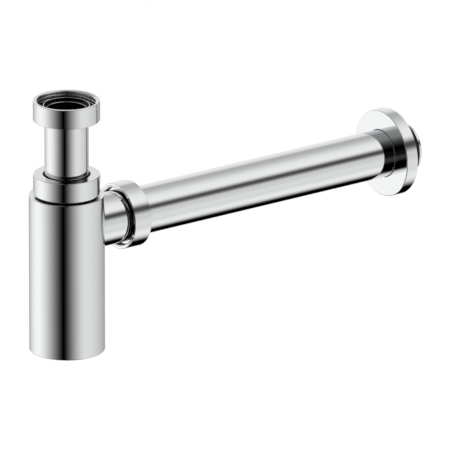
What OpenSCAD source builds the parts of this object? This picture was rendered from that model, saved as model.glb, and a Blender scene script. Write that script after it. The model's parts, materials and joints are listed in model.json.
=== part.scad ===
// Bottle trap for a wash basin, in chromed brass, with a long wall tube and a wall flange.
// The origin is the centre of the coupling nut's mouth, where the basin waste screws in.
// +Z is up along the inlet, and +X runs along the wall tube to the wall. All sizes are in millimetres.

/* [Nuts] */
// Outer diameter of the three round nuts
nut_d = 44.5; // [44.2:0.1:47]
// Height of a nut along its axis
nut_h = 13.3; // [13:0.1:16]
// Crest diameter of the pipe thread inside a nut
thread_d = 39; // [38.6:0.1:39.2]
// Depth of the pipe thread
thread_depth = 1.45; // [1:0.05:1.5]
// Pitch of the pipe thread
thread_pitch = 2.309; // [1.8:0.001:2.309]
// Thickness of the inward lip of a nut
nut_lip = 2; // [1.6:0.1:2.2]

/* [Inlet tube] */
// Outer diameter of the inlet tube
inlet_d = 29.2; // [28:0.1:29.6]
// Wall thickness of the inlet tube
inlet_wall = 1.5; // [1:0.1:2]
// Bare tube seen between the coupling nut and the collar nut
inlet_bare = 38.1; // [37:0.1:80]
// Depth of the tube's rim below the mouth of the coupling nut
rim_depth = 3.2; // [3:0.1:3.6]
// Height of the tube's lower end above the inside of the base
dip_gap = 10; // [9.5:0.5:14]

/* [Bottle] */
// Outer diameter of the bottle
bottle_d = 50.4; // [49:0.1:56]
// Height of the bottle
bottle_h = 108.2; // [105:0.1:130]
// Wall thickness of the bottle
bottle_wall = 1.2; // [1:0.1:1.6]
// Distance from the bottle's top down to the outlet axis
outlet_drop = 23.7; // [23:0.1:30]

/* [Outlet and wall tube] */
// Outer diameter of the spigot on the bottle's side
spigot_d = 35.1; // [35:0.1:35.6]
// Distance from the bottle's axis to the mouth of the outlet nut
outlet_nut_x = 40.2; // [39.5:0.1:50]
// Outer diameter of the wall tube
wall_tube_d = 32; // [31.8:0.1:32]
// Wall thickness of the wall tube
wall_tube_wall = 1; // [0.8:0.1:1.5]
// Distance from the bottle's axis to the far end of the wall tube
reach = 282.5; // [280:0.1:400]

/* [Wall flange] */
// Outer diameter of the wall flange
flange_d = 58.8; // [56:0.1:70]
// Thickness of the wall flange
flange_t = 8.9; // [7:0.1:12]
// Length of tube that stands out behind the flange, into the wall
flange_to_end = 13.4; // [13:0.1:40]

/* [Base plug] */
// Diameter of the plug's head, flush in the base
plug_d = 33; // [31:0.1:36]
// Diameter of the plug's thread
plug_thread_d = 26; // [24:0.1:26.4]
// Width of the coin slot in the plug
slot_w = 2.6; // [2:0.1:3]

/* [Hidden] */
$fn = 96;
eps = 0.01;

// Clearances
run = 0.05;
tube_play = 0.6;
collar_play = 1.3;
spigot_play = 0.5;
flange_play = 0.35;
ring_play = 0.3;
seal_play = 0.5;

// Edges and small details
edge = 0.3;
flange_edge = 0.5;
thread_lead = 1.5;
cut_past = 1;
slip_t = 1.2;
gasket_t = 3;
washer_t = 1;
seal_flange_t = 2;
seal_r = nut_inner_r() - seal_play;

function nut_inner_r() = thread_d / 2;

// Inlet tube
inlet_r = inlet_d / 2;
inlet_bore_r = inlet_r - inlet_wall;
rim_r = 15.6;
rim_wall = 0.6;
rim_ledge_depth = 2.1;
flare_t = 1.4;
slip_z = nut_lip - nut_h + run;
flare_z = slip_z + slip_t + run;
gasket_z = flare_z + flare_t;

// Collar nut, counted down from the coupling nut
collar_top_z = -nut_h - inlet_bare;
collar_washer_z = collar_top_z - nut_lip - run - washer_t;
collar_seal_z = collar_washer_z - run - seal_flange_t;
collar_gap = 1;
bottle_top_z = collar_top_z - nut_h - collar_gap;
bottle_bottom_z = bottle_top_z - bottle_h;

// Neck bush
neck_r = nut_inner_r() - run;
neck_root_r = 17;
neck_tail = 1;
neck_top_z = collar_seal_z - run;
neck_bore_r = inlet_r + tube_play;
seat_depth = 3.4;
seat_r = 18.2;

// Bottle
bottle_r = bottle_d / 2;
chamber_r = bottle_r - bottle_wall;
shell_top_t = 3;
base_t = 8;
outlet_z = bottle_top_z - outlet_drop;
dip_end_z = bottle_bottom_z + base_t + dip_gap;

// Base plug
plug_r = plug_d / 2;
plug_thread_r = plug_thread_d / 2;
plug_head_t = 2.6;
oring_d = 1.8;
oring_groove_depth = 1.35;
oring_inset = 1.6;
oring_path_r = plug_thread_r + oring_inset;
slot_l = 24;
slot_depth = 1.4;

// Outlet, measured along +X from the bottle's axis
spigot_r = spigot_d / 2;
wall_tube_r = wall_tube_d / 2;
spigot_bore_r = wall_tube_r + spigot_play;
outlet_nut_end_x = outlet_nut_x + nut_h;
outlet_washer_x = outlet_nut_end_x - nut_lip - run - washer_t;
outlet_seal_x = outlet_washer_x - run - seal_flange_t;
ring_end_x = outlet_seal_x - run;
ring_l = 5;
ring_shoulder = 3;
tube_clear = 3;
tube_start_x = bottle_r + tube_clear;

// Wall flange
flange_r = flange_d / 2;
flange_back_x = reach - flange_to_end;
flange_x = flange_back_x - flange_t;
flange_wall = 1.6;
flange_hole_r = wall_tube_r + flange_play;
grip_r = 21;
grip_sleeve_r = 17.6;
grip_sleeve_l = 10.6;
grip_disc_t = 4;
grip_setback = 1;

// Ring about Z from z to z + h, with both outer edges broken by the given bevel
module turned_ring(inner_r, outer_r, z, h, bevel) {
    rotate_extrude()
        polygon([[inner_r, z], [outer_r - bevel, z], [outer_r, z + bevel],
            [outer_r, z + h - bevel], [outer_r - bevel, z + h], [inner_r, z + h]]);
}

// Round nut with its mouth at the origin facing +Z and countersunk for the thread's start, its lip below
// and a thread relief above the lip
module round_nut(hole_r) {
    outer_r = nut_d / 2;
    relief_r = nut_inner_r() + thread_depth - edge;
    relief_z = nut_lip - nut_h;
    rotate_extrude()
        polygon([[hole_r, -nut_h], [outer_r - edge, -nut_h], [outer_r, edge - nut_h], [outer_r, -edge],
            [outer_r - edge, 0], [nut_inner_r() + thread_lead, 0], [nut_inner_r(), -thread_lead],
            [nut_inner_r(), relief_z + thread_pitch],
            [relief_r, relief_z + thread_pitch], [relief_r, relief_z], [hole_r, relief_z]]);
}

// Rubber seal about Z: a flat flange above z and a taper that narrows downwards into its seat
module taper_seal(inner_r, tip_r) {
    rotate_extrude()
        polygon([[inner_r, -seat_depth + run], [tip_r, -seat_depth + run], [seat_r - 2 * run, 0],
            [seal_r, 0], [seal_r, seal_flange_t], [inner_r, seal_flange_t]]);
}

// Moves a shape made about +Z, with its top towards the mouth, onto the outlet axis at distance x
module on_outlet(x) {
    translate([x, 0, outlet_z])
        rotate([0, 90, 0])
            children();
}

module coupling_nut() {
    color("gainsboro")
        round_nut(inlet_r + tube_play);
}

module coupling_gasket() {
    color("dimgray")
        turned_ring(rim_r + run, nut_inner_r() - ring_play, gasket_z, gasket_t, edge);
}

module coupling_slip_ring() {
    color("darkslategray")
        turned_ring(inlet_r + run, nut_inner_r() - ring_play, slip_z, slip_t, edge);
}

module inlet_tube() {
    flare_r = nut_inner_r() - seal_play;
    color("silver")
        rotate_extrude()
            polygon([[inlet_bore_r, dip_end_z], [inlet_r - edge, dip_end_z], [inlet_r, dip_end_z + edge],
                [inlet_r, flare_z], [flare_r, flare_z], [flare_r, flare_z + flare_t],
                [rim_r, flare_z + flare_t], [rim_r, -rim_depth], [rim_r - rim_wall, -rim_depth],
                [rim_r - rim_wall, -rim_depth - rim_ledge_depth],
                [inlet_bore_r, -rim_depth - rim_ledge_depth - 2 * edge]]);
}

module collar_nut() {
    color("gainsboro")
        translate([0, 0, collar_top_z - nut_h])
            mirror([0, 0, 1])
                round_nut(inlet_r + collar_play);
}

module collar_slip_washer() {
    color("darkslategray")
        turned_ring(inlet_r + 2 * run, nut_inner_r() - ring_play, collar_washer_z, washer_t, edge / 2);
}

module collar_seal() {
    color("black")
        translate([0, 0, collar_seal_z])
            taper_seal(inlet_r + run, neck_bore_r + run);
}

// Threaded neck soldered into the top of the bottle, with a conical seat for the seal in its mouth
module neck_bush() {
    foot_z = bottle_top_z - shell_top_t - neck_tail;
    seat_z = neck_top_z - seat_depth;
    color("lightgray")
        rotate_extrude()
            polygon([[neck_bore_r, foot_z], [neck_root_r, foot_z], [neck_root_r, bottle_top_z],
                [neck_r, bottle_top_z], [neck_r, neck_top_z - edge], [neck_r - edge, neck_top_z],
                [seat_r, neck_top_z], [neck_bore_r + 2 * run, seat_z], [neck_bore_r, seat_z]]);
}

// Drawn cup, closed at the top and open at the bottom, with the holes for the neck and the spigot
module bottle_shell() {
    plate_z = bottle_top_z - shell_top_t;
    color("silver")
        difference() {
            rotate_extrude()
                polygon([[neck_root_r + run, plate_z], [chamber_r, plate_z], [chamber_r, bottle_bottom_z],
                    [bottle_r - edge, bottle_bottom_z], [bottle_r, bottle_bottom_z + edge],
                    [bottle_r, bottle_top_z - edge], [bottle_r - edge, bottle_top_z],
                    [neck_root_r + run, bottle_top_z]]);
            on_outlet(0)
                cylinder(r = spigot_r + run, h = bottle_r + cut_past);
        }
}

// Turned disc soldered into the bottom of the shell, recessed for the plug's head
module bottle_base() {
    recess_z = bottle_bottom_z + plug_head_t + run;
    top_z = bottle_bottom_z + base_t;
    color("lightgray")
        rotate_extrude()
            polygon([[plug_thread_r + run, recess_z], [plug_r + run, recess_z],
                [plug_r + run, bottle_bottom_z], [chamber_r - run, bottle_bottom_z],
                [chamber_r - run, top_z], [plug_thread_r + run, top_z]]);
}

// Short tube soldered into the shell, its inner end trimmed to the wall of the chamber
module outlet_spigot() {
    color("silver")
        difference() {
            on_outlet(0)
                rotate_extrude()
                    translate([spigot_bore_r, chamber_r / 2])
                        square([spigot_r - spigot_bore_r, ring_end_x - ring_shoulder - chamber_r / 2]);
            translate([0, 0, outlet_z - bottle_r])
                cylinder(r = chamber_r, h = bottle_d);
        }
}

// Threaded ring soldered on the spigot's end, with a conical seat for the seal in its mouth
module outlet_thread_ring() {
    color("lightgray")
        on_outlet(ring_end_x)
            rotate_extrude()
                polygon([[spigot_r + run, -ring_l], [neck_r, -ring_l], [neck_r, -edge], [neck_r - edge, 0],
                    [seat_r, 0], [spigot_bore_r + 3 * run, -ring_shoulder + 2 * edge],
                    [spigot_bore_r, -ring_shoulder + 2 * edge], [spigot_bore_r, -ring_shoulder + run],
                    [spigot_r + run, -ring_shoulder + run]]);
}

module outlet_nut() {
    color("gainsboro")
        on_outlet(outlet_nut_x)
            mirror([0, 0, 1])
                round_nut(wall_tube_r + tube_play);
}

module outlet_slip_washer() {
    color("darkslategray")
        on_outlet(outlet_washer_x)
            turned_ring(wall_tube_r + 2 * run, nut_inner_r() - ring_play, 0, washer_t, edge / 2);
}

// Seal that grips the wall tube, its taper shortened to the seat in the threaded ring
module outlet_seal() {
    taper_l = ring_shoulder - 2 * edge - 2 * run;
    color("black")
        on_outlet(outlet_seal_x)
            rotate_extrude()
                polygon([[wall_tube_r + run, -taper_l], [spigot_bore_r, -taper_l], [seat_r - 3 * run, 0],
                    [seal_r, 0], [seal_r, seal_flange_t], [wall_tube_r + run, seal_flange_t]]);
}

module wall_tube() {
    inner_r = wall_tube_r - wall_tube_wall;
    color("silver")
        on_outlet(0)
            turned_ring(inner_r, wall_tube_r, tube_start_x, reach - tube_start_x, 1.5 * edge);
}

// Rubber ring that holds the flange on the tube: a disc inside the flange and a sleeve behind it
module flange_grip_ring() {
    inner_r = wall_tube_r + run;
    disc_x = flange_back_x - grip_disc_t;
    disc_end_x = flange_back_x - grip_setback;
    sleeve_end_x = flange_back_x + grip_sleeve_l;
    color("dimgray")
        on_outlet(0)
            rotate_extrude()
                polygon([[inner_r, disc_x], [grip_r, disc_x], [grip_r, disc_end_x], [grip_sleeve_r, disc_end_x],
                    [grip_sleeve_r, sleeve_end_x - edge], [grip_sleeve_r - edge, sleeve_end_x],
                    [inner_r, sleeve_end_x]]);
}

// Hollow flange, open at the back, with an inner collar that turns on the grip ring's disc
module wall_flange() {
    collar_r = grip_r + run;
    collar_outer_r = collar_r + flange_wall;
    rim_inner_r = flange_r - flange_wall;
    floor_x = flange_x + flange_wall;
    collar_end_x = flange_back_x - grip_setback;
    color("gainsboro")
        on_outlet(0)
            rotate_extrude()
                polygon([[flange_hole_r, flange_x],
                    [flange_r - flange_edge, flange_x], [flange_r, flange_x + flange_edge],
                    [flange_r, flange_back_x - edge], [flange_r - edge, flange_back_x],
                    [rim_inner_r, flange_back_x], [rim_inner_r, floor_x], [collar_outer_r, floor_x],
                    [collar_outer_r, collar_end_x], [collar_r, collar_end_x], [collar_r, floor_x],
                    [flange_hole_r, floor_x]]);
}

// Plug with a flush head, a plain shank the size of its thread, a seal groove and a coin slot
module base_plug() {
    head_top_z = bottle_bottom_z + plug_head_t;
    color("silver")
        difference() {
            union() {
                turned_ring(0, plug_r, bottle_bottom_z, plug_head_t, edge);
                translate([0, 0, head_top_z - eps])
                    cylinder(r = plug_thread_r, h = base_t - plug_head_t + eps);
            }
            rotate_extrude()
                translate([oring_path_r - oring_d / 2, head_top_z - oring_groove_depth])
                    square([oring_d, oring_groove_depth + cut_past]);
            translate([-slot_l / 2, -slot_w / 2, bottle_bottom_z - cut_past])
                cube([slot_l, slot_w, slot_depth + cut_past]);
        }
}

module base_oring() {
    color("black")
        translate([0, 0, bottle_bottom_z + plug_head_t - oring_groove_depth / 2])
            rotate_extrude()
                translate([oring_path_r, 0])
                    circle(r = oring_groove_depth / 2 - run, $fn = 48);
}

coupling_nut();
coupling_gasket();
coupling_slip_ring();
inlet_tube();
collar_nut();
collar_slip_washer();
collar_seal();
neck_bush();
bottle_shell();
bottle_base();
outlet_spigot();
outlet_thread_ring();
outlet_nut();
outlet_slip_washer();
outlet_seal();
wall_tube();
flange_grip_ring();
wall_flange();
base_plug();
base_oring();
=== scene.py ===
"""Bottle trap for a wash basin, in polished chrome.

Every turned piece is redrawn as a fine surface of revolution with small rounded edges, and its threads are
cut as real helices that stay in mesh while the nuts turn. Lengths in the outlines are millimetres.
"""

import json
import math

import bpy
import numpy as np
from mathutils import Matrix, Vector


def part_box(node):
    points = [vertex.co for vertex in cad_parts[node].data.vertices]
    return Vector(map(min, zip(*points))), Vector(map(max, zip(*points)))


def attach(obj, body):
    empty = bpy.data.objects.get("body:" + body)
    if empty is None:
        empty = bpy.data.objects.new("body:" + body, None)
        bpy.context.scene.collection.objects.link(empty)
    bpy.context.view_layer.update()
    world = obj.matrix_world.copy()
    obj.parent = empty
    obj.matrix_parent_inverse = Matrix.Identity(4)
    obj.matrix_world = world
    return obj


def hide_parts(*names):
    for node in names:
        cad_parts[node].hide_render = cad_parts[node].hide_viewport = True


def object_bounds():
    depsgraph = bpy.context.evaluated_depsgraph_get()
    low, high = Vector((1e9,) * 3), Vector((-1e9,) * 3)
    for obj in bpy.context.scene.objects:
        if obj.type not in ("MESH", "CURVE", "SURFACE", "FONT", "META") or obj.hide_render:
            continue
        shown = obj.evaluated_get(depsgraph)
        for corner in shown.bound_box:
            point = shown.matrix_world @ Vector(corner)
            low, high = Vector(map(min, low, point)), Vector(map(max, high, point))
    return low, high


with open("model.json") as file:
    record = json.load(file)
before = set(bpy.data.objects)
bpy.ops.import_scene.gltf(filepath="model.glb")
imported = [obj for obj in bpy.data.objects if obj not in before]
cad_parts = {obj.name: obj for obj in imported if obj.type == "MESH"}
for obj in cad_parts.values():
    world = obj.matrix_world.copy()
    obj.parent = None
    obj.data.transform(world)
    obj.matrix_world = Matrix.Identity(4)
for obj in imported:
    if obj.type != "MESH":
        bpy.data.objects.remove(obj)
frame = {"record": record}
CAD_LOW, CAD_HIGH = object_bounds()

MM = 0.001
EDGE = 0.18
FINE_EDGE = 0.08
NUT_EDGE = 0.35
TURNS = 224


# ---------------------------------------------------------------- sizes, from the frame where it has them, the rest given


def span(node):
    """Lowest and highest corner of a CAD node in millimetres."""
    low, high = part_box(node)
    return np.array(low) / MM, np.array(high) / MM


MOUNTS = {m["name"]: m for m in frame["record"]["mounts"]}
CREST_R = MOUNTS["inlet_thread"]["dims"]["r_mm"]
OUTLET_Z = MOUNTS["outlet_end"]["pos_m"][2] / MM
NUT_R = span("coupling_nut")[1][0]
NUT_H = -span("coupling_nut")[0][2]
BOTTLE_R = span("bottle_shell")[1][1]
BOTTLE_LOW = span("bottle_shell")[0][2]
BOTTLE_TOP = span("bottle_shell")[1][2]
CHAMBER_R = span("bottle_base")[1][1] + 0.05
BASE_TOP = span("bottle_base")[1][2]
INLET_R = 14.6
INLET_BORE_R = 13.1
SPIGOT_R = span("outlet_spigot")[1][1]
TUBE_R = span("wall_tube")[1][1]
FLANGE_R = span("wall_flange")[1][1]
PITCH = 2.309
THREAD_DEPTH = 1.4
RUN = 0.05
LIP = 2.0
LEAD = 1.5


# ---------------------------------------------------------------- turned surfaces


def rounded(corners, arc_steps=5):
    """Outline through corners (radius, height, edge rounding, rows to the next corner), metal on its left.

    Each corner becomes an arc tangent to both sides. With u and v the unit directions into and out of the
    corner and f the rounding, the arc starts f * tan(half the turn) before the corner, and its normal swings
    evenly from the first side's normal to the second's. A corner in a straight side stays one point, and one
    as wide as a nut's mouth gets five times the points, since a groove runs out through it.
    Returns points, normals and the number of the corner that each point belongs to.
    """
    flat = np.array([c[:2] for c in corners], float)
    into = flat - np.roll(flat, 1, axis=0)
    length = np.hypot(into[:, 0], into[:, 1])
    u = into / length[:, None]
    v = np.roll(u, -1, axis=0)
    turn = np.arctan2(u[:, 0] * v[:, 1] - u[:, 1] * v[:, 0], (u * v).sum(axis=1))
    size = np.array([c[2] if len(c) > 2 else FINE_EDGE for c in corners])
    half_turn = np.tan(np.abs(turn) / 2)
    reach = np.minimum(size * half_turn, 0.45 * np.minimum(length, np.roll(length, -1)))
    points, normals, owner = [], [], []
    for i, corner in enumerate(corners):
        straight = half_turn[i] < 1e-6
        steps = 5 * arc_steps if size[i] >= LEAD else arc_steps
        sweep = turn[i] * np.linspace(0, 1, 1 if straight else steps)
        angle = math.atan2(-u[i, 0], u[i, 1]) + sweep
        normal = np.stack([np.cos(angle), np.sin(angle)], axis=1)
        bend = 0 if straight else math.copysign(reach[i] / half_turn[i], turn[i])
        centre = flat[i] - reach[i] * u[i] - bend * normal[0]
        points.append(centre + bend * normal)
        normals.append(normal)
        rows = corner[3] if len(corner) > 3 else 0
        after = (i + 1) % len(flat)
        first, last = flat[i] + v[i] * reach[i], flat[after] - v[i] * reach[after]
        t = np.linspace(0, 1, rows + 2)[1:-1, None]
        points.append(first + (last - first) * t)
        normals.append(np.repeat([[v[i, 1], -v[i, 0]]], rows, axis=0))
        owner += [i] * (len(normal) + rows)
    return np.concatenate(points), np.concatenate(normals), np.array(owner)


def smooth(x):
    """Smooth step from 0 to 1 over x from 0 to 1."""
    x = np.clip(x, 0, 1)
    return x * x * (3 - 2 * x)


def thread(low, high, depth=THREAD_DEPTH, pitch=PITCH, fade=0.9):
    """Radius added by a right-hand helical thread between two heights.

    The phase is height / pitch - angle / turn. The flank rises and falls as a triangle wave with rounded
    tips, and the whole fades in and out over a short length at each end.
    """

    def rise(angle, height):
        phase = height / pitch - angle / (2 * math.pi)
        wave = np.abs(2 * (phase - np.floor(phase)) - 1)
        body = smooth(1.3 * wave - 0.15)
        ends = smooth((height - low) / fade) * smooth((high - height) / fade)
        return depth * body * ends

    return rise


def grid_normals(points):
    """Outward normals of a closed grid of points, from the cross product of its two central differences."""
    along = np.roll(points, -1, axis=0) - np.roll(points, 1, axis=0)
    around = np.roll(points, -1, axis=1) - np.roll(points, 1, axis=1)
    cross = np.cross(around, along)
    return cross / np.maximum(np.linalg.norm(cross, axis=2, keepdims=True), 1e-12)


def upright(points):
    """Keeps a shape on the inlet axis."""
    return points


def on_outlet(points):
    """Turns a shape made about +Z so that its axis is the outlet's, with its top towards the wall."""
    x, y, z = points[..., 0], points[..., 1], points[..., 2]
    return np.stack([z, y, -x], axis=-1)


def outlet_place(points):
    """A shape made about +Z, turned and lifted onto the outlet axis."""
    return on_outlet(points) + np.array([0, 0, OUTLET_Z])


def new_piece(name, points, normals, faces, body, node, material, dark=None):
    """Mesh from arrays in millimetres with its own exact normals, riding on a body for a CAD node.

    dark says, vertex by vertex, how much painted shade the surface takes, from 0 to 1: a darker colour put in
    bores and on threads where shade falls.
    """
    mesh = bpy.data.meshes.new(name)
    mesh.from_pydata((points.reshape(-1, 3) * MM).tolist(), [], faces.tolist())
    mesh.polygons.foreach_set("use_smooth", np.ones(len(mesh.polygons), dtype=bool))
    if dark is not None:
        layer = mesh.attributes.new("dark", "FLOAT", "POINT")
        layer.data.foreach_set("value", dark.ravel().astype(np.float32))
    mesh.normals_split_custom_set_from_vertices(normals.reshape(-1, 3).tolist())
    mesh.materials.append(material)
    piece = bpy.data.objects.new(name, mesh)
    bpy.context.scene.collection.objects.link(piece)
    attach(piece, body)
    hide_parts(node)
    return piece


def wrap_faces(rows, columns):
    """Quads of a grid that closes on itself both ways."""
    i, j = np.meshgrid(np.arange(rows), np.arange(columns), indexing="ij")
    k, m = (i + 1) % rows, (j + 1) % columns
    corners = [i * columns + j, i * columns + m, k * columns + m, k * columns + j]
    return np.stack(corners, axis=-1).reshape(-1, 4)


def spun(profile, angle):
    """Sweeps radius and height once round: x = radius cos(angle), y = radius sin(angle), z = height."""
    radius, height = profile[:, :1], profile[:, 1:]
    return np.stack([radius * np.cos(angle), radius * np.sin(angle), height + 0 * angle], axis=-1)


def lathe(name, corners, body, material, place=upright, wave=None, trim=None, inside=()):
    """Closed ring of revolution: radius and height follow the outline, the angle goes once round.

    wave adds to the radius as a function of angle and height, for threads. trim may move points after that.
    inside lists the corners that get painted shade: a darker colour in bores and on the neck's thread, where
    shade falls.
    """
    outline, tilt, owner = rounded(corners)
    angle = np.linspace(0, 2 * math.pi, TURNS, endpoint=False)
    radius = np.repeat(outline[:, :1], TURNS, axis=1)
    height = np.repeat(outline[:, 1:], TURNS, axis=1)
    added = wave(angle[None, :], height, radius) if wave else np.zeros_like(radius)
    radius = radius + added
    points = np.stack([radius * np.cos(angle), radius * np.sin(angle), height], axis=-1)
    normals = spun(tilt, angle)
    if trim:
        points = trim(points)
    cut = np.abs(added).max(axis=1) > 0
    measured = grid_normals(points)
    normals[cut] = measured[cut]
    faces = wrap_faces(len(outline), TURNS)
    turned = on_outlet(normals) if place is outlet_place else normals
    # Painted shade: the corners listed in inside are marked dark, for the shade in bores and threads.
    dark = np.repeat(np.isin(owner, inside)[:, None], TURNS, axis=1)
    return new_piece(name, place(points), turned, faces, body, name, material, dark)


# ---------------------------------------------------------------- materials


def linear(colour):
    """Linear RGBA of an sRGB hex colour."""
    values = [int(colour[i:i + 2], 16) / 255 for i in (1, 3, 5)]
    return [v / 12.92 if v <= 0.04045 else ((v + 0.055) / 1.055) ** 2.4 for v in values] + [1.0]


def add(tree, kind, settings=None, links=None):
    """Adds a node, sets its properties and input values, and links its inputs from other sockets."""
    node = tree.nodes.new(kind)
    for key, value in (settings or {}).items():
        if key in node.inputs:
            node.inputs[key].default_value = value
        else:
            setattr(node, key, value)
    for key, source in (links or {}).items():
        tree.links.new(source, node.inputs[key])
    return node


def cloud(tree, where, scale, detail):
    """Noise texture of a given scale and detail."""
    return add(tree, "ShaderNodeTexNoise", {"Scale": scale, "Detail": detail}, {"Vector": where})


def between(tree, value, low, high):
    """Brings a value that runs from 0 to 1 to the range from low to high."""
    return add(tree, "ShaderNodeMapRange", {"To Min": low, "To Max": high}, {"Value": value})


def surface(name, settings):
    """New material with one Principled shader, returned with its tree and shader."""
    material = bpy.data.materials.new(name)
    material.use_nodes = True
    tree = material.node_tree
    tree.nodes.clear()
    shader = add(tree, "ShaderNodeBsdfPrincipled", settings)
    add(tree, "ShaderNodeOutputMaterial", links={"Surface": shader.outputs[0]})
    return material, tree, shader


def polished_chrome(name, along):
    """Bright nickel-chrome plating, buffed on a wheel: a clear mirror with a faint haze of fine rings.

    The rings lie round the axis given by along, about 0.5 mm apart. Where the attribute dark is set, in bores
    and hollows, the colour is painted dark grey for the shade that falls there, and the surface is a little
    less glossy.
    """
    material, tree, shader = surface(name, {"Metallic": 1.0})
    place = add(tree, "ShaderNodeTexCoord")
    rings = add(tree, "ShaderNodeMapping", {"Scale": along}, {"Vector": place.outputs["Object"]})
    haze = cloud(tree, rings.outputs["Vector"], 40.0, 4.0)
    gloss = between(tree, haze.outputs["Fac"], 0.03, 0.06)
    grain = cloud(tree, place.outputs["Object"], 300.0, 3.0)
    dull = between(tree, grain.outputs["Fac"], 0.06, 0.14)
    # Painted shade: the attribute dark turns the chrome dark grey (#484746) in bores and hollows.
    painted_bore_shade = add(tree, "ShaderNodeAttribute", {"attribute_name": "dark"})
    tint = add(tree, "ShaderNodeMix", {"data_type": "RGBA"}, {"Factor": painted_bore_shade.outputs["Fac"]})
    tint.inputs[6].default_value = linear("#F1F2F3")
    tint.inputs[7].default_value = linear("#484746")
    rough = add(tree, "ShaderNodeMix", {}, {"Factor": painted_bore_shade.outputs["Fac"], 2: gloss.outputs["Result"],
                                            3: dull.outputs["Result"]})
    tree.links.new(tint.outputs[2], shader.inputs["Base Color"])
    tree.links.new(rough.outputs[0], shader.inputs["Roughness"])
    return material


def turned_brass():
    """Free-cutting brass as it leaves the lathe. Where dark is 1, its thread is painted near black and not
    metallic, as shade in the gap under the collar nut.
    """
    material, tree, shader = surface("turned_brass", {})
    place = add(tree, "ShaderNodeTexCoord")
    stain = cloud(tree, place.outputs["Object"], 120.0, 5.0)
    tint = add(tree, "ShaderNodeMix", {"data_type": "RGBA"}, {"Factor": stain.outputs["Fac"]})
    tint.inputs[6].default_value = linear("#D9B45E")
    tint.inputs[7].default_value = linear("#B98F3F")
    rough = between(tree, stain.outputs["Fac"], 0.18, 0.34)
    # Painted shade: the neck's thread turns near black (#0C0B0A) where the attribute dark is set.
    painted_gap_shade = add(tree, "ShaderNodeAttribute", {"attribute_name": "dark"})
    metal = between(tree, painted_gap_shade.outputs["Fac"], 1.0, 0.0)
    brass_or_painted_shade = add(tree, "ShaderNodeMix", {"data_type": "RGBA"}, {
        "Factor": painted_gap_shade.outputs["Fac"],
        6: tint.outputs[2],
    })
    brass_or_painted_shade.inputs[7].default_value = linear("#0C0B0A")
    tree.links.new(brass_or_painted_shade.outputs[2], shader.inputs["Base Color"])
    tree.links.new(metal.outputs["Result"], shader.inputs["Metallic"])
    tree.links.new(rough.outputs["Result"], shader.inputs["Roughness"])
    return material


def moulded_rubber(name, light, dark):
    """Pressed EPDM rubber: near black, dull, with the fine grain of the mould and a trace of pale bloom."""
    material, tree, shader = surface(name, {"Specular IOR Level": 0.4})
    place = add(tree, "ShaderNodeTexCoord")
    grain = cloud(tree, place.outputs["Object"], 1500.0, 3.0)
    bloom = cloud(tree, place.outputs["Object"], 160.0, 5.0)
    tint = add(tree, "ShaderNodeMix", {"data_type": "RGBA"}, {"Factor": bloom.outputs["Fac"]})
    tint.inputs[6].default_value = linear(dark)
    tint.inputs[7].default_value = linear(light)
    rough = between(tree, bloom.outputs["Fac"], 0.42, 0.62)
    relief = {"Strength": 0.25, "Distance": 0.00005}
    bump = add(tree, "ShaderNodeBump", relief, {"Height": grain.outputs["Fac"]})
    tree.links.new(tint.outputs[2], shader.inputs["Base Color"])
    tree.links.new(rough.outputs["Result"], shader.inputs["Roughness"])
    tree.links.new(bump.outputs["Normal"], shader.inputs["Normal"])
    return material


def black_nylon():
    """Injection-moulded nylon, coloured near black as painted shade for the gaps it shows in: slightly waxy,
    with faint paler flow marks.
    """
    material, tree, shader = surface("black_nylon", {"Specular IOR Level": 0.45})
    place = add(tree, "ShaderNodeTexCoord")
    flow = cloud(tree, place.outputs["Object"], 220.0, 4.0)
    tint = add(tree, "ShaderNodeMix", {"data_type": "RGBA"}, {"Factor": flow.outputs["Fac"]})
    # Painted shade: near-black tones that keep the washers dark in the gaps between nuts and tubes.
    tint.inputs[6].default_value = linear("#141415")
    tint.inputs[7].default_value = linear("#242425")
    rough = between(tree, flow.outputs["Fac"], 0.34, 0.5)
    tree.links.new(tint.outputs[2], shader.inputs["Base Color"])
    tree.links.new(rough.outputs["Result"], shader.inputs["Roughness"])
    return material


CHROME = polished_chrome("polished_chrome_upright", (1.0, 1.0, 50.0))
CHROME_ALONG = polished_chrome("polished_chrome_outlet", (50.0, 1.0, 1.0))
BRASS = turned_brass()
RUBBER = moulded_rubber("moulded_rubber", "#1E1E1F", "#101011")
NYLON = black_nylon()


# ---------------------------------------------------------------- pieces on the inlet axis


def nut(name, hole_r, mouth, back, place=upright, material=CHROME):
    """Round nut with a rounded mouth and a real thread in its bore, its mouth above or below its back.

    The outline goes up the outside and down the bore, or the other way round when the mouth is below.
    The groove runs out through the mouth: each radius is the larger of the rounding's and the groove's.
    """
    up = math.copysign(1.0, mouth - back)
    lip = back + up * LIP
    relief = lip + up * PITCH
    low, high = min(mouth, relief), max(mouth, relief)
    thread_rows = 72
    corners = [
        (hole_r, back, EDGE),
        (NUT_R, back, NUT_EDGE),
        (NUT_R, mouth, NUT_EDGE),
        (CREST_R, mouth, LEAD, thread_rows if up > 0 else 0),
        (CREST_R, relief, FINE_EDGE, 0 if up > 0 else thread_rows),
        (CREST_R + THREAD_DEPTH, relief, FINE_EDGE),
        (CREST_R + THREAD_DEPTH, lip, FINE_EDGE),
        (hole_r, lip, EDGE),
    ]
    # Painted shade: the threaded bore's corners are listed to be coloured darker.
    inside = (4, 5, 6, 7)
    if up < 0:
        corners = corners[::-1]
        inside = (0, 1, 2, 3)
    rise = thread(*sorted((mouth + 2 * up, relief - 0.2 * up)))

    def wave(angle, height, radius):
        bored = (radius > CREST_R - 0.01) & (radius < CREST_R + THREAD_DEPTH - 0.01)
        bored &= (height > low) & (height < high)
        return np.where(bored, np.maximum(CREST_R + rise(angle, height) - radius, 0.0), 0.0)

    return lathe(name, corners, name, material, place, wave, inside=inside)


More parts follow.
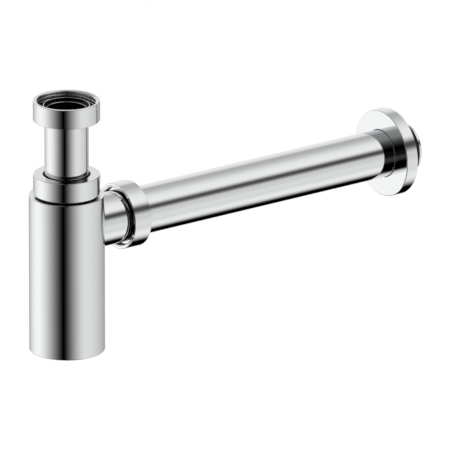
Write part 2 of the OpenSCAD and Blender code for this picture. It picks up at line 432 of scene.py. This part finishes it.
def male_thread(radius_of_shank, low, high, depth=THREAD_DEPTH, pitch=PITCH):
    """Wave for a plain shank that carries the same helix, a little inside the nut's groove."""
    rise = thread(low, high, depth, pitch)

    def wave(angle, height, radius):
        shank = (np.abs(radius - radius_of_shank) < 0.01) & (height > low) & (height < high)
        return np.where(shank, rise(angle, height), 0.0)

    return wave


nut("coupling_nut", 15.2, 0, -NUT_H)
COLLAR_TOP = span("collar_nut")[1][2]
COLLAR_LOW = span("collar_nut")[0][2]
nut("collar_nut", INLET_R + 1.3, COLLAR_LOW, COLLAR_TOP)


def plain_ring(name, inner, body, material, place=upright, edge=EDGE):
    """Flat ring with rounded edges, as high and as wide as its CAD node."""
    low, high = span(name)
    axis = 2 if place is upright else 0
    outer = high[1]
    bottom, top = low[axis], high[axis]
    corners = [(inner, bottom, edge), (outer, bottom, edge), (outer, top, edge), (inner, top, edge)]
    return lathe(name, corners, body, material, place)


plain_ring("coupling_gasket", 15.65, "inlet", RUBBER, edge=0.35)
plain_ring("coupling_slip_ring", INLET_R + RUN, "coupling_slip", NYLON)
plain_ring("collar_slip_washer", INLET_R + 2 * RUN, "collar_slip", NYLON)

RIM_Z = span("inlet_tube")[1][2]
DIP_Z = span("inlet_tube")[0][2]
FLARE_TOP = span("coupling_gasket")[0][2]
FLARE_LOW = FLARE_TOP - 1.4
FLARE_R = span("inlet_tube")[1][0]
# The corners in inside, in the bore and the rim's inner step, take painted shade.
lathe("inlet_tube", [
    (INLET_BORE_R, DIP_Z, 0.3),
    (INLET_R, DIP_Z, 0.3),
    (INLET_R, FLARE_LOW, 0.3),
    (FLARE_R, FLARE_LOW, EDGE),
    (FLARE_R, FLARE_TOP, EDGE),
    (15.6, FLARE_TOP, EDGE),
    (15.6, RIM_Z, 0.2),
    (15.0, RIM_Z, 0.2),
    (15.0, RIM_Z - 0.5, 0),
    (15.0, RIM_Z - 2.4, 0.2),
    (13.8, RIM_Z - 2.4, 0),
    (INLET_BORE_R, RIM_Z - 2.4, 0.6),
    (INLET_BORE_R, RIM_Z - 3.4, 0),
], "inlet", CHROME, inside=(0, 8, 9, 10, 12))

SEAL_LOW, SEAL_HIGH = span("collar_seal")[0][2], span("collar_seal")[1][2]
SEAL_R = span("collar_seal")[1][0]
SEAL_STEP = SEAL_HIGH - 2.0
lathe("collar_seal", [
    (INLET_R + RUN, SEAL_LOW, FINE_EDGE),
    (15.25, SEAL_LOW, FINE_EDGE),
    (18.1, SEAL_STEP, FINE_EDGE),
    (SEAL_R, SEAL_STEP, 0.3),
    (SEAL_R, SEAL_HIGH, 0.3),
    (INLET_R + RUN, SEAL_HIGH, EDGE),
], "collar_seal", RUBBER)

NECK_TOP = span("neck_bush")[1][2]
NECK_LOW = span("neck_bush")[0][2]
NECK_R = span("neck_bush")[1][0]
# Painted shade: the neck's thread, corners 3 and 4 in inside, is coloured near black for the gap under the
# collar nut.
lathe("neck_bush", [
    (15.2, NECK_LOW, EDGE),
    (17.0, NECK_LOW, EDGE),
    (17.0, BOTTLE_TOP, FINE_EDGE),
    (NECK_R, BOTTLE_TOP, FINE_EDGE, 64),
    (NECK_R, NECK_TOP, EDGE),
    (18.2, NECK_TOP, FINE_EDGE),
    (15.2, NECK_TOP - 3.4, FINE_EDGE),
], "bottle", BRASS, wave=male_thread(NECK_R, BOTTLE_TOP + 0.4, NECK_TOP), inside=(3, 4))


# ---------------------------------------------------------------- the bottle


def border(rows, columns):
    """Row and column numbers once round the border of a block of the grid, from its low corner."""
    low, high, left, right = rows[:1], rows[-1:], columns[:1], columns[-1:]
    across, up = len(columns) - 1, len(rows) - 1
    return (
        np.concatenate([low.repeat(across), rows[:-1], high.repeat(across), rows[:0:-1]]),
        np.concatenate([columns[:-1], right.repeat(up), columns[:0:-1], left.repeat(up)]),
    )


def hole_patch(radius, angle, height, heading):
    """Wall of a cylinder between a side hole and the border round it, as a grid of rings.

    Each border point is joined straight, in angle and height, to the hole's edge in its own heading: there
    the wall stands hole_r * cos(heading) to the side and hole_r * sin(heading) above the outlet's axis.
    """
    side = (SPIGOT_R + RUN) * np.cos(heading)
    edge = np.stack([np.arcsin(side / radius), OUTLET_Z + (SPIGOT_R + RUN) * np.sin(heading)])
    t = np.linspace(0, 1, 14)[:-1, None, None]
    spot = edge + (np.stack([angle, height]) - edge) * t
    normals = np.stack([np.cos(spot[:, 0]), np.sin(spot[:, 0]), 0 * spot[:, 0]], axis=-1)
    points = normals * radius
    points[..., 2] = spot[:, 1]
    return points, normals


def bottle_shell():
    """Drawn cup: a turned wall, with its surface led round the hole that the spigot is soldered into.

    The turned grid loses the block of faces round the hole, outside and inside, and each gap is filled with
    rings that shrink from the block's border to the hole. A short wall joins the two edges of the hole.
    """
    low, high, rows = OUTLET_Z - 20, OUTLET_Z + 20, 25
    top_plate = BOTTLE_TOP - 3
    corners = [
        (CHAMBER_R, BOTTLE_LOW, EDGE),
        (BOTTLE_R, BOTTLE_LOW, 0.5),
        (BOTTLE_R, low, 0, rows),
        (BOTTLE_R, high, 0),
        (BOTTLE_R, BOTTLE_TOP, 0.4),
        (17.05, BOTTLE_TOP, FINE_EDGE),
        (17.05, top_plate, FINE_EDGE),
        (CHAMBER_R, top_plate, 0.6),
        (CHAMBER_R, high, 0, rows),
        (CHAMBER_R, low, 0),
    ]
    outline, tilt, owner = rounded(corners)
    angle = np.linspace(0, 2 * math.pi, TURNS, endpoint=False)
    points = spun(outline, angle)
    normals = spun(tilt, angle)
    faces = wrap_faces(len(outline), TURNS).reshape(len(outline), TURNS, 4)
    keep = np.ones(faces.shape[:2], dtype=bool)
    half = TURNS // 6
    columns = np.arange(-half, half + 1) % TURNS
    all_points, all_normals, all_faces = [points.reshape(-1, 3)], [normals.reshape(-1, 3)], []
    edges, heading = [], None
    for radius in (BOTTLE_R, CHAMBER_R):
        on_wall = np.abs(outline[:, 0] - radius) < 1e-6
        block = np.flatnonzero(on_wall & (outline[:, 1] > low - 0.01) & (outline[:, 1] < high + 0.01))
        keep[np.ix_(np.sort(block)[:-1], columns[:-1])] = False
        block = block[np.argsort(outline[block, 1])]
        row, column = border(block, columns)
        turned = (column + half) % TURNS - half
        spot = turned * 2 * math.pi / TURNS
        if heading is None:
            heading = np.arctan2(outline[row, 1] - OUTLET_Z, spot * radius)
        patch, lean = hole_patch(radius, spot, outline[row, 1], heading)
        start = sum(len(p) for p in all_points)
        rings = start + np.arange(patch.shape[0] * patch.shape[1]).reshape(patch.shape[:2])
        rings = np.vstack([rings, row * TURNS + column])
        after = np.roll(rings, -1, axis=1)
        quads = np.stack([rings[:-1], rings[1:], after[1:], after[:-1]], axis=-1).reshape(-1, 4)
        inside = radius == CHAMBER_R
        all_faces.append(quads[:, ::-1] if inside else quads)
        all_points.append(patch.reshape(-1, 3))
        all_normals.append(-lean.reshape(-1, 3) if inside else lean.reshape(-1, 3))
        edges.append(rings[0])
    outer, inner = edges
    all_faces.append(np.stack([outer, np.roll(outer, -1), np.roll(inner, -1), inner], axis=-1))
    all_faces.insert(0, faces[keep])
    points, normals = np.concatenate(all_points), np.concatenate(all_normals)
    # Painted shade: the chamber's inner wall is coloured darker, for the shade inside the cup.
    dark = np.hypot(points[:, 0], points[:, 1]) < CHAMBER_R + 0.01
    dark &= points[:, 2] < BOTTLE_TOP - 0.5
    return new_piece("bottle_shell", points, normals, np.concatenate(all_faces), "bottle", "bottle_shell",
                     CHROME, dark)


bottle_shell()

PLUG_R = span("base_plug")[1][0]
PLUG_HEAD = 2.6
PLUG_TOP = span("base_plug")[1][2]
SHANK_R = 13.0
PLUG_PITCH = 1.814
PLUG_DEPTH = 1.0


def bored_thread(radius_of_bore, low, high, depth=THREAD_DEPTH, pitch=PITCH):
    """Wave that cuts a female thread outwards into a plain bore, right through both of its mouths."""
    rise = thread(low - 2, high + 2, depth, pitch)

    def wave(angle, height, radius):
        return np.where(radius < radius_of_bore + 0.2, rise(angle, height), 0.0)

    return wave


# The corners in inside, round the threaded bore, take painted shade.
lathe("bottle_base", [
    (SHANK_R + RUN, BOTTLE_LOW + PLUG_HEAD + RUN, FINE_EDGE),
    (PLUG_R + RUN, BOTTLE_LOW + PLUG_HEAD + RUN, FINE_EDGE),
    (PLUG_R + RUN, BOTTLE_LOW, EDGE),
    (CHAMBER_R - RUN, BOTTLE_LOW, EDGE),
    (CHAMBER_R - RUN, BASE_TOP, EDGE),
    (SHANK_R + RUN, BASE_TOP, EDGE, 48),
], "bottle", CHROME, inside=(0, 4, 5),
    wave=bored_thread(SHANK_R + RUN, BOTTLE_LOW + PLUG_HEAD, BASE_TOP, PLUG_DEPTH, PLUG_PITCH))

SLOT_HALF = 1.3
SLOT_REACH = 12.0
SLOT_DEPTH = 1.4
SLOT_EDGE = 0.12
HEAD_EDGE = 0.25
GROOVE_R = (13.7, 15.5)
GROOVE_DEPTH = 1.35


def slot_loop(along, spread):
    """Loop of points that stay at the distance spread from a segment of half length along, and its normals.

    The loop runs evenly by its own length: round one end, along one side, round the other end and back.
    """
    centre_reach = SLOT_REACH - SLOT_HALF
    quarter = math.pi * SLOT_HALF / 2
    corner = quarter / (4 * quarter + 4 * centre_reach)
    s = np.arange(TURNS) / TURNS
    knots = [0, corner, 0.5 - corner, 0.5 + corner, 1 - corner, 1]
    turn = np.interp(s, knots, np.array([0, 90, 90, 270, 270, 360]) * math.pi / 180)
    place = np.interp(s, knots, [1, 1, -1, -1, 1, 1]) * along
    normal = np.stack([np.cos(turn), np.sin(turn)], axis=-1)
    return np.stack([place, np.zeros(TURNS)], axis=-1) + spread * normal, normal


def ladder(start):
    """Quads across a flat loop, from each side of it to the side opposite."""
    i = np.arange(TURNS // 2 - 1)
    return start + np.stack([i, i + 1, TURNS - 2 - i, TURNS - 1 - i], axis=-1)


def base_plug():
    """Turned plug: the outline goes from the slot's floor, over its wall and the head, up the threaded shank.

    Up to the slot's mouth each ring follows the slot's outline. Across the face of the head the rings change
    evenly from the slot's outline to a circle, and every later ring is a circle.
    """
    head_top = BOTTLE_LOW + PLUG_HEAD
    face_rows = 12
    corners = [
        (0.2, BOTTLE_LOW + SLOT_DEPTH, 0),
        (SLOT_HALF, BOTTLE_LOW + SLOT_DEPTH, 0.1),
        (SLOT_HALF, BOTTLE_LOW, SLOT_EDGE, face_rows),
        (PLUG_R, BOTTLE_LOW, HEAD_EDGE),
        (PLUG_R, head_top, EDGE),
        (GROOVE_R[1], head_top, FINE_EDGE),
        (GROOVE_R[1], head_top - GROOVE_DEPTH, FINE_EDGE),
        (GROOVE_R[0], head_top - GROOVE_DEPTH, FINE_EDGE),
        (GROOVE_R[0], head_top, FINE_EDGE),
        (SHANK_R, head_top, FINE_EDGE, 48),
        (SHANK_R, PLUG_TOP, EDGE),
        (0.2, PLUG_TOP, 0),
    ]
    outline, tilt, owner = rounded(corners)
    kept = (owner > 0) & (owner < len(corners) - 1)
    outline, tilt, owner = outline[kept], tilt[kept], owner[kept]
    radius, height = outline[:, 0], outline[:, 1]
    angle = 2 * math.pi * np.arange(TURNS) / TURNS
    round_way = np.stack([np.cos(angle), np.sin(angle)], axis=-1)
    face = np.flatnonzero((owner == 2) & (height < BOTTLE_LOW + 1e-6))[1:]
    mix = (owner > 2).astype(float)
    mix[face] = np.linspace(0, 1, len(face) + 2)[1:-1]
    circle_r = np.where(owner > 2, radius, PLUG_R - HEAD_EDGE)
    slot_r = np.minimum(radius, SLOT_HALF + SLOT_EDGE)
    wave = male_thread(SHANK_R, head_top + 0.3, PLUG_TOP, PLUG_DEPTH, PLUG_PITCH)
    points, normals = [], []
    for spread, round_r, z, way, m in zip(slot_r, circle_r, height, tilt, mix):
        slot, slot_way = slot_loop(SLOT_REACH - SLOT_HALF, spread)
        circle = (round_r + wave(angle, z + 0 * angle, round_r + 0 * angle))[:, None] * round_way
        points.append(np.column_stack([(1 - m) * slot + m * circle, z + 0 * angle]))
        normals.append(np.column_stack([(slot_way if m == 0 else round_way) * way[0], way[1] + 0 * angle]))
    points, normals = np.array(points), np.array(normals)
    threaded = (np.abs(radius - SHANK_R) < 0.01) & (height > head_top + 0.3) & (height < PLUG_TOP)
    normals[threaded] = grid_normals(points)[threaded]
    rows = len(points)
    faces = wrap_faces(rows, TURNS)[:(rows - 1) * TURNS]
    closed = np.concatenate([faces, ladder(0)[:, ::-1], ladder((rows - 1) * TURNS)])
    # Painted shade: the threaded shank, which sits in the base's bore, is coloured darker.
    dark = np.repeat(threaded[:, None], TURNS, axis=1)
    return new_piece("base_plug", points, normals, closed, "base_plug", "base_plug",
                     CHROME, dark)


base_plug()

ORING_LOW, ORING_HIGH = span("base_oring")[0][2], span("base_oring")[1][2]
ORING_OUT = span("base_oring")[1][0]
ORING_IN = ORING_OUT - (ORING_HIGH - ORING_LOW)
ORING_ROUND = (ORING_HIGH - ORING_LOW) / 2
lathe("base_oring", [
    (ORING_IN, ORING_LOW, ORING_ROUND),
    (ORING_OUT, ORING_LOW, ORING_ROUND),
    (ORING_OUT, ORING_HIGH, ORING_ROUND),
    (ORING_IN, ORING_HIGH, ORING_ROUND),
], "base_oring", RUBBER)


# ---------------------------------------------------------------- pieces on the outlet axis

RING_LOW, RING_END = span("outlet_thread_ring")[0][0], span("outlet_thread_ring")[1][0]
SPIGOT_END = span("outlet_spigot")[1][0]
NUT_MOUTH, NUT_BACK = span("outlet_nut")[0][0], span("outlet_nut")[1][0]
SPIGOT_BORE_R = TUBE_R + 0.5


def saddle(points):
    """Pushes the spigot's inner end out to the chamber's wall, whose distance is sqrt(R^2 - sideways^2)."""
    x, y, z = points[..., 0], points[..., 1], points[..., 2]
    wall = np.sqrt(CHAMBER_R ** 2 - y ** 2)
    return np.stack([x, y, np.where(z < 1, z + wall, z)], axis=-1)


# The ends of the spigot's bore take painted shade.
lathe("outlet_spigot", [
    (SPIGOT_BORE_R, 0, EDGE),
    (SPIGOT_R, 0, EDGE),
    (SPIGOT_R, SPIGOT_END, EDGE),
    (SPIGOT_BORE_R, SPIGOT_END, EDGE),
], "bottle", CHROME_ALONG, outlet_place, trim=saddle, inside=(0, 3))

lathe("outlet_thread_ring", [
    (SPIGOT_R + RUN, RING_LOW, FINE_EDGE),
    (NECK_R, RING_LOW, EDGE, 48),
    (NECK_R, RING_END, EDGE),
    (18.2, RING_END, FINE_EDGE),
    (SPIGOT_BORE_R + 0.15, RING_END - 2.4, FINE_EDGE),
    (SPIGOT_BORE_R, RING_END - 2.95, FINE_EDGE),
    (SPIGOT_R + RUN, RING_END - 2.95, FINE_EDGE),
], "bottle", CHROME_ALONG, outlet_place, male_thread(NECK_R, RING_LOW, RING_END))

nut("outlet_nut", TUBE_R + 0.6, NUT_MOUTH, NUT_BACK, outlet_place, CHROME_ALONG)
plain_ring("outlet_slip_washer", TUBE_R + 2 * RUN, "outlet_slip", NYLON, outlet_place)

OUTLET_SEAL_LOW, OUTLET_SEAL_HIGH = span("outlet_seal")[0][0], span("outlet_seal")[1][0]
lathe("outlet_seal", [
    (TUBE_R + RUN, OUTLET_SEAL_LOW, FINE_EDGE),
    (SPIGOT_BORE_R, OUTLET_SEAL_LOW, FINE_EDGE),
    (18.05, OUTLET_SEAL_HIGH - 2, FINE_EDGE),
    (SEAL_R, OUTLET_SEAL_HIGH - 2, 0.3),
    (SEAL_R, OUTLET_SEAL_HIGH, 0.3),
    (TUBE_R + RUN, OUTLET_SEAL_HIGH, EDGE),
], "outlet_seal", RUBBER, outlet_place)

TUBE_LOW, TUBE_END = span("wall_tube")[0][0], span("wall_tube")[1][0]
# The ends of the tube's bore take painted shade.
lathe("wall_tube", [
    (TUBE_R - 1, TUBE_LOW, 0.3),
    (TUBE_R, TUBE_LOW, 0.45),
    (TUBE_R, TUBE_END, 0.45),
    (TUBE_R - 1, TUBE_END, 0.3),
], "wall_tube", CHROME_ALONG, outlet_place, inside=(0, 3))

GRIP_R = span("flange_grip_ring")[1][1]
GRIP_LOW, GRIP_END = span("flange_grip_ring")[0][0], span("flange_grip_ring")[1][0]
FLANGE_FACE, FLANGE_BACK = span("wall_flange")[0][0], span("wall_flange")[1][0]
SLEEVE_R = 17.6
lathe("flange_grip_ring", [
    (TUBE_R + RUN, GRIP_LOW, FINE_EDGE),
    (GRIP_R, GRIP_LOW, EDGE),
    (GRIP_R, FLANGE_BACK - 1, EDGE),
    (SLEEVE_R, FLANGE_BACK - 1, EDGE),
    (SLEEVE_R, GRIP_END, 0.4),
    (TUBE_R + RUN, GRIP_END, EDGE),
], "flange_grip", RUBBER, outlet_place)

FLANGE_WALL = 1.6
HUB_R = GRIP_R + RUN
lathe("wall_flange", [
    (TUBE_R + 0.35, FLANGE_FACE, 0.25),
    (TUBE_R + 0.35, FLANGE_FACE + FLANGE_WALL, EDGE),
    (HUB_R, FLANGE_FACE + FLANGE_WALL, EDGE),
    (HUB_R, FLANGE_BACK - 1, EDGE),
    (HUB_R + FLANGE_WALL, FLANGE_BACK - 1, EDGE),
    (HUB_R + FLANGE_WALL, FLANGE_FACE + FLANGE_WALL, 0.5),
    (FLANGE_R - FLANGE_WALL, FLANGE_FACE + FLANGE_WALL, 0.8),
    (FLANGE_R - FLANGE_WALL, FLANGE_BACK, EDGE),
    (FLANGE_R, FLANGE_BACK, 0.3),
    (FLANGE_R, FLANGE_FACE, 0.5),
][::-1], "wall_flange", CHROME_ALONG, outlet_place)


# ---------------------------------------------------------------- camera, room and floor

CAMERA_HEADING = math.radians(-36.37)
CAMERA_RISE = math.radians(18.97)
CAMERA_AWAY = 12.45
CAMERA_AIM = np.array([0.1302, 0.0, -0.1139])

BACK = np.array([
    math.sin(CAMERA_HEADING) * math.cos(CAMERA_RISE),
    -math.cos(CAMERA_HEADING) * math.cos(CAMERA_RISE),
    math.sin(CAMERA_RISE),
])


def long_lens_camera():
    """Camera far off behind a very long lens, so that the view is almost without perspective."""
    lens = bpy.data.cameras.new("camera")
    lens.lens = 1493
    lens.sensor_width = 36
    lens.clip_end = 60
    camera = bpy.data.objects.new("camera", lens)
    camera.location = CAMERA_AIM + BACK * CAMERA_AWAY
    camera.rotation_mode = "XYZ"
    camera.rotation_euler = (math.pi / 2 - CAMERA_RISE, 0, CAMERA_HEADING)
    bpy.context.scene.collection.objects.link(camera)
    bpy.context.scene.camera = camera


def light(percent):
    """Linear light that chrome shows as this percentage of white."""
    v = percent / 100
    return (v / 12.92 if v <= 0.04045 else ((v + 0.055) / 1.055) ** 2.4) / CHROME_REFLECTS


# The studio round the trap, ring by ring: (heading from the camera's side in degrees, brightness in percent).
# The camera looks out of a black gap between two white walls. A dark rail runs along the right wall above eye
# level, the ceiling is bright on the right, and the floor has one white strip on each side.
CHROME_REFLECTS = 0.87
WALLS = ((-180, 60), (-100, 95), (-10, 0), (60, 85), (180, 60))
AT_EYE_LEVEL = ((-180, 90), (-90, 80), (0, 5), (80, 80), (130, 20), (180, 90))
GAP_AND_RAIL = ((-180, 85), (-90, 70), (-20, 0), (40, 0), (80, 30), (120, 10), (180, 85))
CEILING = ((-180, 65), (-60, 50), (0, 10), (90, 90), (180, 65))
FLOOR = ((-180, 0), (-140, 0), (-90, 90), (-40, 0), (40, 0), (90, 90), (140, 0), (180, 0))


def ring_of_light(tree, heading, levels):
    """Colour ramp once round the room, from the heading opposite the camera back to itself."""
    ramp = add(tree, "ShaderNodeValToRGB", links={"Fac": heading})
    ramp.color_ramp.interpolation = "EASE"
    stops = ramp.color_ramp.elements
    while len(stops) < len(levels):
        stops.new(1.0)
    for stop, (degrees, percent) in zip(stops, levels):
        stop.position = 0.5 + degrees / 360
        stop.color = [light(percent)] * 3 + [1]
    return ramp.outputs["Color"]


def blend(tree, height, low, high, first, second):
    """Fades from first to second as the height of the direction goes from low to high."""
    fade = {"interpolation_type": "SMOOTHSTEP", "From Min": low, "From Max": high}
    step = add(tree, "ShaderNodeMapRange", fade, {"Value": height})
    mix = add(tree, "ShaderNodeMix", {"data_type": "RGBA"}, {"Factor": step.outputs["Result"]})
    tree.links.new(first, mix.inputs[6])
    tree.links.new(second, mix.inputs[7])
    return mix.outputs[2]


def studio():
    """Light tent with a dark gap on the camera's side, seen only by the object; the camera sees white."""
    world = bpy.data.worlds.new("studio")
    bpy.context.scene.world = world
    world.use_nodes = True
    tree = world.node_tree
    tree.nodes.clear()
    way = add(tree, "ShaderNodeTexCoord")
    to_camera = {"Rotation": (0, 0, -CAMERA_HEADING)}
    turned = add(tree, "ShaderNodeMapping", to_camera, {"Vector": way.outputs["Generated"]})
    parts = add(tree, "ShaderNodeSeparateXYZ", links={"Vector": turned.outputs["Vector"]})
    toward = add(tree, "ShaderNodeMath", {"operation": "MULTIPLY"}, {0: parts.outputs["Y"]})
    toward.inputs[1].default_value = -1
    sides = {0: parts.outputs["X"], 1: toward.outputs[0]}
    angle = add(tree, "ShaderNodeMath", {"operation": "ARCTAN2"}, sides)
    once_round = {"From Min": -math.pi, "From Max": math.pi}
    heading = add(tree, "ShaderNodeMapRange", once_round, {"Value": angle.outputs[0]})
    level = heading.outputs["Result"]
    height = parts.outputs["Z"]
    floor, walls, eye_level, gap, ceiling = [
        ring_of_light(tree, level, ring) for ring in (FLOOR, WALLS, AT_EYE_LEVEL, GAP_AND_RAIL, CEILING)
    ]
    shade = blend(tree, height, -0.58, -0.36, floor, walls)
    shade = blend(tree, height, -0.30, 0.0, shade, eye_level)
    shade = blend(tree, height, 0.08, 0.36, shade, gap)
    shade = blend(tree, height, 0.42, 0.66, shade, ceiling)
    room = add(tree, "ShaderNodeBackground", {"Strength": 1.0}, {"Color": shade})
    white = add(tree, "ShaderNodeBackground", {"Color": (1, 1, 1, 1), "Strength": 1.0})
    path = add(tree, "ShaderNodeLightPath")
    seen = add(tree, "ShaderNodeMixShader", links={0: path.outputs["Is Camera Ray"], 1: room.outputs[0],
                                                  2: white.outputs[0]})
    add(tree, "ShaderNodeOutputWorld", links={"Surface": seen.outputs[0]})


def pale_floor():
    """White studio floor well below the hanging trap, too evenly lit to hold a shadow."""
    drop, reach = 0.16, 8.0
    z = CAD_LOW[2] - drop
    mesh = bpy.data.meshes.new("floor")
    corners = [(-reach, -reach, z), (reach, -reach, z), (reach, reach, z), (-reach, reach, z)]
    mesh.from_pydata(corners, [], [(0, 1, 2, 3)])
    floor = bpy.data.objects.new("floor", mesh)
    bpy.context.scene.collection.objects.link(floor)
    material = bpy.data.materials.new("lit_white_floor")
    material.use_nodes = True
    tree = material.node_tree
    tree.nodes.clear()
    glow = add(tree, "ShaderNodeEmission", {"Color": (1, 1, 1, 1), "Strength": 1.0})
    clear = add(tree, "ShaderNodeBsdfTransparent")
    side = add(tree, "ShaderNodeNewGeometry")
    one_way = add(tree, "ShaderNodeMixShader", links={0: side.outputs["Backfacing"], 1: glow.outputs[0],
                                                     2: clear.outputs[0]})
    add(tree, "ShaderNodeOutputMaterial", links={"Surface": one_way.outputs[0]})
    mesh.materials.append(material)
    floor.visible_glossy = False
    floor.visible_diffuse = False


long_lens_camera()
studio()
pale_floor()
bpy.context.scene.view_settings.view_transform = "Standard"
